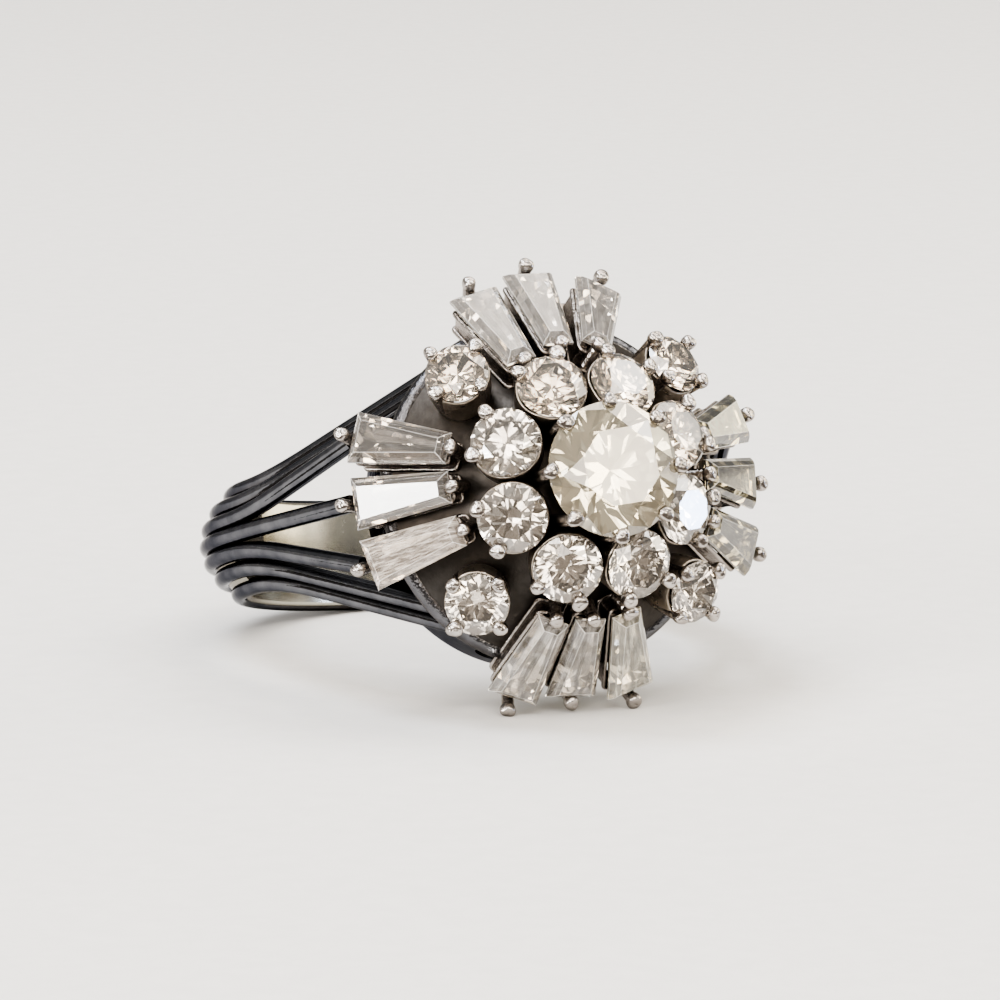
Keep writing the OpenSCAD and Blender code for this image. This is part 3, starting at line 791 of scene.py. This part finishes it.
def prong(foot, tip):
    p = prongLook
    stemR = p["stemR"]
    beadR = p["beadR"] * (1 + dice.uniform(-1, 1) * p["wobble"])
    way = tip - foot
    rise, boxy = p["beadRise"], p["boxy"]
    neck = way.length - rise
    profile = [(0.0, 0.0)]
    for s in range(p["stemSteps"] + 1):
        t = s / p["stemSteps"]
        profile.append((stemR * (1 + p["footSwell"] - p["footSwell"] * t), neck * t))
    for s in range(1, p["beadSteps"] + 1):
        # a knob rather than a ball: wide and a little flat on top
        a = blendOf(p["beadFrom"], math.pi, s / p["beadSteps"])
        r = beadR * math.sin(a) ** boxy if s < p["beadSteps"] else 0.0
        drop = math.copysign(abs(math.cos(a)) ** boxy, math.cos(a))
        profile.append((max(r, stemR * p["neckShare"]) if a < p["neckUntil"] else r,
                        way.length - rise * drop))
    # filed by hand, so no knob is quite round
    turns = [dice.uniform(0, 2 * math.pi) for k in range(2)]
    rings = []
    for s in range(p["sides"]):
        a = 2 * math.pi * s / p["sides"]
        lump = p["lump"] * (math.sin(2 * a + turns[0]) + p["lumpMix"] * math.sin(3 * a + turns[1]))
        ring = []
        for r, z in profile:
            r *= 1 + lump * min(max((z - neck) / rise + p["lumpFrom"], 0), 1)
            lift = p["lumpLift"] * lump * rise * (z > neck)
            ring.append(Vector((r * math.cos(a), r * math.sin(a), z + lift)))
        rings.append(ring)
    stand = way.to_track_quat("Z", "Y").to_matrix().to_4x4()
    return moved(loft(rings, closedAround=True, closedSection=False), Matrix.Translation(foot) @ stand)


cupLook = dict(innerDepth=2.2, cornerDepth=2.1, wall=0.16, footShare=0.24, footWall=0.28,
               rimDrop=0.10, rimOut=0.04, lip=0.06, lipFrom=-10, lipTurn=190, lipSteps=5, lipDrop=0.08,
               bowlSteps=7, bowlDrop=0.12, insideDrop=0.2, insideSpots=(0.8, 0.4), sides=72,
               innerDip=0.1, cornerDip=0.08, dipHalf=40,
               innerDips=[0, 90, 270], cornerDips=[45, 135, 225, 315])


def nearest(turn, turns):
    return min(abs((turn - t + 540) % 360 - 180) for t in turns)


def cup(width, depth, dips, dip):
    # a bowl whose rim dips a little between the prongs
    c = cupLook
    foot, rim = c["footShare"] * width, width / 2
    outerFoot, outerRim = foot + c["footWall"], rim + c["rimOut"]
    rings = []
    for s in range(c["sides"]):
        turn = 360 * s / c["sides"]
        near = nearest(turn, dips)
        fall = dip * (1 + math.cos(math.pi * near / c["dipHalf"])) / 2 if near < c["dipHalf"] else 0
        top = -c["rimDrop"] - fall
        section = [(foot, -depth), (outerFoot, -depth)]
        for step in range(1, c["bowlSteps"]):
            a = math.radians(90 * step / c["bowlSteps"])
            section.append((blendOf(outerFoot, outerRim, math.sin(a)),
                            blendOf(-depth, top - c["bowlDrop"], 1 - math.cos(a))))
        for step in range(c["lipSteps"] + 1):
            a = math.radians(c["lipFrom"] + c["lipTurn"] * step / c["lipSteps"])
            section.append((outerRim - c["lip"] + c["lip"] * math.cos(a),
                            top - c["lipDrop"] + c["lip"] * math.sin(a)))
        for t in c["insideSpots"]:
            section.append((blendOf(foot, rim - c["wall"], t),
                            blendOf(-depth, top - c["insideDrop"], t)))
        rings.append([polar(r, turn, z) for r, z in section])
    return loft(rings, closedAround=True)


def roundProngs(width, depth, turns):
    p = prongLook
    return [prong(polar(p["footShare"] * width + p["footOut"], turn, p["footUp"] - depth),
                  polar(width / 2, turn, p["outLift"])) for turn in turns]


settingSmooth = 45


def settingPiece(name, shapes, seat, finish="polished"):
    metalPiece(name, keptClear(moved(joined(shapes), seat)), headToRow, finish, settingSmooth)


for kind, seats in roundRows.items():
    width, depth = roundSeats[kind + "Width"], cupLook[kind + "Depth"]
    for number, seat in enumerate(seats, 1):
        bowl = cup(width, depth, cupLook[kind + "Dips"], cupLook[kind + "Dip"])
        settingPiece(f"{kind}Cup{number}", [bowl], seat, "cup")
        prongs = roundProngs(width, depth, prongLook[kind + "Turns"])
        settingPiece(f"{kind}Prongs{number}", prongs, seat)

centreSetting = dict(section=[(1.0, -3.3), (1.32, -3.3), (2.0, -1.0), (1.95, -0.82), (1.78, -0.82),
                              (1.68, -1.0)],
                     sides=96, prongs=8, footR=2.1, footDepth=-3.3)
shapes = [lathe(centreSetting["section"], centreSetting["sides"], closedSection=True)]
for k in range(centreSetting["prongs"]):
    turn = 360 / centreSetting["prongs"] * k
    shapes.append(prong(polar(centreSetting["footR"], turn, centreSetting["footDepth"]),
                        polar(roundSeats["centreWidth"] / 2, turn, prongLook["outLift"])))
settingPiece("centreSetting", shapes, centreSeat())

frameLook = dict(railR=0.10, railSides=12, upper=-0.50, lower=-1.30, outset=-0.12, wallOut=-0.14,
                 wallThick=0.12, cornerR=0.2, bendSteps=5, sideSteps=8, postDepth=1.35,
                 innerPostDepth=0.8, postOut=0.26, innerBeadOut=0.22)


def framePath(length, z, out):
    # rounded tapered loop under a baguette's edge
    f = frameLook
    x, wide, narrow = length / 2 + out, stepCut["wide"] + out, stepCut["narrow"] + out
    corners = [Vector((-x, -narrow, z)), Vector((x, -wide, z)),
               Vector((x, wide, z)), Vector((-x, narrow, z))]
    path = []
    for k in range(4):
        before, here, after = corners[k - 1], corners[k], corners[(k + 1) % 4]
        a = here + (before - here).normalized() * f["cornerR"]
        b = here + (after - here).normalized() * f["cornerR"]
        for s in range(f["bendSteps"] + 1):
            t = s / f["bendSteps"]
            path.append(a * (1 - t) ** 2 + here * (2 * t * (1 - t)) + b * t * t)
        far = after + (here - after).normalized() * f["cornerR"]
        for s in range(1, f["sideSteps"]):
            path.append(blendOf(b, far, s / f["sideSteps"]))
    return path


def frameRails(length):
    f = frameLook
    shapes = []
    for z in (f["upper"], f["lower"]):
        path = framePath(length, z, f["outset"])
        shapes.append(sweep(path, f["railR"], f["railSides"], closedAround=True))
    outer, inner = f["wallOut"], f["wallOut"] - f["wallThick"]
    sides = [framePath(length, z, out) for out, z in ((outer, f["lower"]), (outer, f["upper"]),
                                                      (inner, f["upper"]), (inner, f["lower"]))]
    shapes.append(loft([list(ring) for ring in zip(*sides)], closedAround=True))
    return shapes


def frameProngs(length, outStand):
    f = frameLook
    return [prong(Vector((length / 2 + f["postOut"], 0, -f["postDepth"])),
                  Vector((length / 2 + outStand, 0, prongLook["outLift"]))),
            prong(Vector((-length / 2 - f["postOut"], 0, -f["innerPostDepth"])),
                  Vector((-length / 2 - f["innerBeadOut"], 0, prongLook["outLift"])))]


for name, row in fanRows.items():
    seat, length = baguetteSeat(row)
    settingPiece("frame_" + name, frameRails(length), seat, "frame")
    settingPiece("prongs_" + name, frameProngs(length, outStand=row[4]), seat)
print("settings made: 8 inner, 4 corner, 12 frames and the centre")

# stones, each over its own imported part
def makeStone(name, node, cut, seat, look, slot):
    backed = slot == "baguette_stone" or name in foiledRounds
    makePiece(name, moved(cut, seat), headToRow, stoneLooks[look], None, [node], seat, backed)


for kind, seats in roundRows.items():
    for number, seat in enumerate(seats, 1):
        cut = roundStone(roundSeats[kind + "Width"])
        makeStone(f"{kind}Stone{number}", f"{kind}_stone_{number}", cut,
                  seat @ turnZ(dice.uniform(0, 45)), "round", "round_stone")
centreTurn = -16.5
makeStone("centreStone", "centre_stone", roundStone(roundSeats["centreWidth"]),
          centreSeat() @ turnZ(centreTurn), "centre", "centre_stone")
for name, row in fanRows.items():
    seat, length = baguetteSeat(row)
    makeStone("baguette_" + name + "_cut", "baguette_" + name, baguetteStone(length), seat,
              baguetteLooks[name], "baguette_stone")
print("stones cut:", len(stoneFits))

# floor and light, in metres
stageLook = dict(floorR=0.9, floorSteps=24, coveR=0.12, coveSteps=12, wallTop=0.26, sides=128,
                 weld=1e-6, colour=(0.80, 0.79, 0.775), otherColour=(0.76, 0.75, 0.735),
                 grainScale=900, grainDetail=6.0, rough=0.75)


def makeStage():
    s = stageLook
    profile = [(s["floorR"] * k / s["floorSteps"], 0.0) for k in range(s["floorSteps"] + 1)]
    for k in range(1, s["coveSteps"] + 1):
        a = math.radians(90 * k / s["coveSteps"])
        profile.append((s["floorR"] + s["coveR"] * math.sin(a), s["coveR"] * (1 - math.cos(a))))
    profile.append((s["floorR"] + s["coveR"], s["wallTop"]))
    points, faces = lathe(profile, s["sides"])
    mesh = bpy.data.meshes.new("studioFloor")
    mesh.from_pydata([tuple(p) for p in points], [], faces)
    bm = bmesh.new()
    bm.from_mesh(mesh)
    bmesh.ops.remove_doubles(bm, verts=bm.verts[:], dist=s["weld"])
    bmesh.ops.recalc_face_normals(bm, faces=bm.faces[:])
    bm.to_mesh(mesh)
    bm.free()
    mesh.shade_smooth()
    material, nodes, links, shader, place = newMaterial("paleCard")
    grain = noise(nodes, links, place, s["grainScale"], s["grainDetail"])
    links.new(mixedColour(nodes, links, ranged(nodes, links, grain, 0.0, 1.0), s["colour"],
                          s["otherColour"]), shader.inputs["Base Color"])
    shader.inputs["Roughness"].default_value = s["rough"]
    mesh.materials.append(material)
    floor = bpy.data.objects.new("studioFloor", mesh)
    bpy.context.scene.collection.objects.link(floor)


# a dark cloth in front, unseen by the camera, which gives stones and metal something dark to mirror
cardLook = dict(near=0.020, reach=0.86, rise=0.0004, wallTop=0.12, fromTurn=-200, toTurn=-6,
                turnSteps=40, colour=(0.06, 0.05, 0.042), napShade=0.8, napScale=30, napDetail=2.0,
                rough=0.9)


def makeCard():
    c = cardLook
    profile = [(c["near"], c["rise"]), (c["reach"], c["rise"]), (c["reach"], c["wallTop"])]
    turns = [c["fromTurn"] + (c["toTurn"] - c["fromTurn"]) * k / c["turnSteps"]
             for k in range(c["turnSteps"] + 1)]
    points, faces = loft([[polar(r, t, z) for r, z in profile] for t in turns], closedSection=False)
    mesh = bpy.data.meshes.new("darkCard")
    mesh.from_pydata([tuple(p) for p in points], [], faces)
    material, nodes, links, shader, place = newMaterial("darkFelt")
    nap = noise(nodes, links, place, c["napScale"], c["napDetail"])
    shaded = tuple(v * c["napShade"] for v in c["colour"])
    links.new(mixedColour(nodes, links, nap, c["colour"], shaded), shader.inputs["Base Color"])
    shader.inputs["Roughness"].default_value = c["rough"]
    mesh.materials.append(material)
    card = bpy.data.objects.new("darkCard", mesh)
    card.visible_camera = card.visible_diffuse = card.visible_shadow = False
    bpy.context.scene.collection.objects.link(card)


makeStage()
makeCard()
aimHeight = 3  # all lamps face this point above the head's middle
aim = headToRow @ Vector((0, 0, aimHeight))
# the way to each lamp, how far it is, its size in metres and its glow for each square metre
softboxes = dict(
    lowLeft=dict(way=(-0.92, -0.36, 0.15), far=0.55, size=(0.17, 0.17), glow=30,
                 colour=(1.0, 0.98, 0.95)),
    besideCamera=dict(way=(-0.33, -0.88, 0.33), far=0.7, size=(0.34, 0.22), glow=4.5,
                      colour=(1.0, 0.91, 0.82)),
    frontHigh=dict(way=(-0.15, -0.75, 0.64), far=0.6, size=(0.30, 0.24), glow=6,
                   colour=(1.0, 0.94, 0.87)),
    frontRight=dict(way=(0.33, -0.87, 0.37), far=0.6, size=(0.17, 0.17), glow=9,
                    colour=(1.0, 0.88, 0.70)),
    leftHigh=dict(way=(-0.545, -0.341, 0.766), far=0.6, size=(0.24, 0.28), glow=9.5,
                  colour=(1.0, 0.93, 0.86)),
    rightHigh=dict(way=(0.64, -0.13, 0.76), far=0.6, size=(0.20, 0.22), glow=9,
                   colour=(1.0, 0.95, 0.88)),
    rightSide=dict(way=(0.90, -0.16, 0.40), far=0.6, size=(0.20, 0.18), glow=4,
                   colour=(1.0, 0.93, 0.82)),
    overhead=dict(way=(-0.30, 0.12, 0.95), far=0.6, size=(0.22, 0.22), glow=17,
                  colour=(0.88, 0.93, 1.0)),
    lowRight=dict(way=(0.93, 0.20, 0.20), far=0.55, size=(0.34, 0.20), glow=4.5,
                  colour=(1.0, 0.90, 0.66)),
    backHigh=dict(way=(0.36, 0.28, 0.89), far=0.6, size=(0.40, 0.34), glow=4.5,
                  colour=(1.0, 0.91, 0.81)),
    lowCool=dict(way=(0.928, -0.370, -0.04), far=0.13, size=(0.024, 0.010), glow=30,
                 colour=(0.66, 0.77, 1.0)),
)
for name, box in softboxes.items():
    light = bpy.data.lights.new(name, "AREA")
    light.shape = "RECTANGLE"
    light.size, light.size_y = box["size"]
    light.energy = box["glow"] * math.pi * box["size"][0] * box["size"][1]
    light.color = box["colour"]
    lamp = bpy.data.objects.new(name, light)
    way = Vector(box["way"]).normalized()
    lamp.location = aim + way * box["far"]
    lamp.rotation_euler = way.to_track_quat("Z", "Y").to_euler()
    lamp.visible_camera = False
    bpy.context.scene.collection.objects.link(lamp)

studioAir = dict(colour=(0.45, 0.44, 0.42), strength=0.95, look="AgX - Medium High Contrast")
world = bpy.data.worlds.new("studioAir")
bpy.context.scene.world = world
bpy.context.scene.view_settings.look = studioAir["look"]
world.use_nodes = True
world.node_tree.nodes["Background"].inputs["Color"].default_value = studioAir["colour"] + (1,)
world.node_tree.nodes["Background"].inputs["Strength"].default_value = studioAir["strength"]

# camera, at the place the photograph was taken from: in millimetres, but metres for the clip
shot = dict(turn=19.88, up=10.32, roll=0.73, distance=243.0, pixelsAway=6370.7, pixels=1000,
            right=2.031, above=0.316, sensor=36.0, clipNear=0.01, clipFar=10.0)


def makeCamera():
    turn, up = math.radians(shot["turn"]), math.radians(shot["up"])
    right = Vector((math.cos(turn), -math.sin(turn), 0))
    back = Vector((-math.sin(turn) * math.cos(up), -math.cos(turn) * math.cos(up), math.sin(up)))
    above = back.cross(right)
    r = math.radians(shot["roll"])
    rightR = right * math.cos(r) + above * math.sin(r)
    aboveR = above * math.cos(r) - right * math.sin(r)
    middle = (headToRow @ Vector((0, 0, 0))) / metre
    place = (middle - rightR * shot["right"] - aboveR * shot["above"] + back * shot["distance"]) * metre
    data = bpy.data.cameras.new("camera")
    data.sensor_width = shot["sensor"]
    data.lens = shot["sensor"] * shot["pixelsAway"] / shot["pixels"]
    data.clip_start, data.clip_end = shot["clipNear"], shot["clipFar"]
    camera = bpy.data.objects.new("camera", data)
    facing = Matrix((rightR, aboveR, back)).transposed().to_4x4()
    camera.matrix_world = Matrix.Translation(place) @ facing
    bpy.context.scene.collection.objects.link(camera)
    bpy.context.scene.camera = camera


makeCamera()
